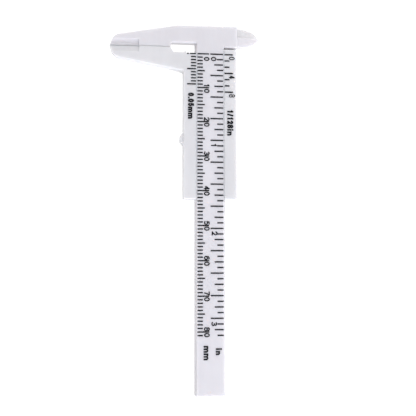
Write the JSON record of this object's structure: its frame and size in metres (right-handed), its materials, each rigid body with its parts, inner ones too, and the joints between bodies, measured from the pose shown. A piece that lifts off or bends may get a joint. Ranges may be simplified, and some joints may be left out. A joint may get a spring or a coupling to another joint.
{
  "type": "vernier caliper",
  "caption": "Small moulded plastic caliper with outside and inside jaws and a vernier slider that runs along a printed millimetre and inch beam.",
  "frame": {"origin": "under the centre of the bounding box, on the plane of the slider's back, with the slider closed", "axes": "+X towards the inside jaws, +Y along the beam towards the head, +Z out of the printed face"},
  "size_m": [0.0434, 0.1064, 0.0037],
  "materials": {
    "beam_plastic": "satin moulded plastic, slightly cool off-white",
    "slider_plastic": "satin moulded plastic, slightly cool off-white",
    "scale_ink": "matte black printing ink"
  },
  "bodies": {
    "beam": {"main_beam": "beam_plastic"},
    "slider": {"slider": "slider_plastic"}
  },
  "joints": [
    {"name": "slider_slide", "type": "slide", "parent": "beam", "child": "slider", "axis": [0, -1, 0], "range_m": [0, 0.08]}
  ]
}
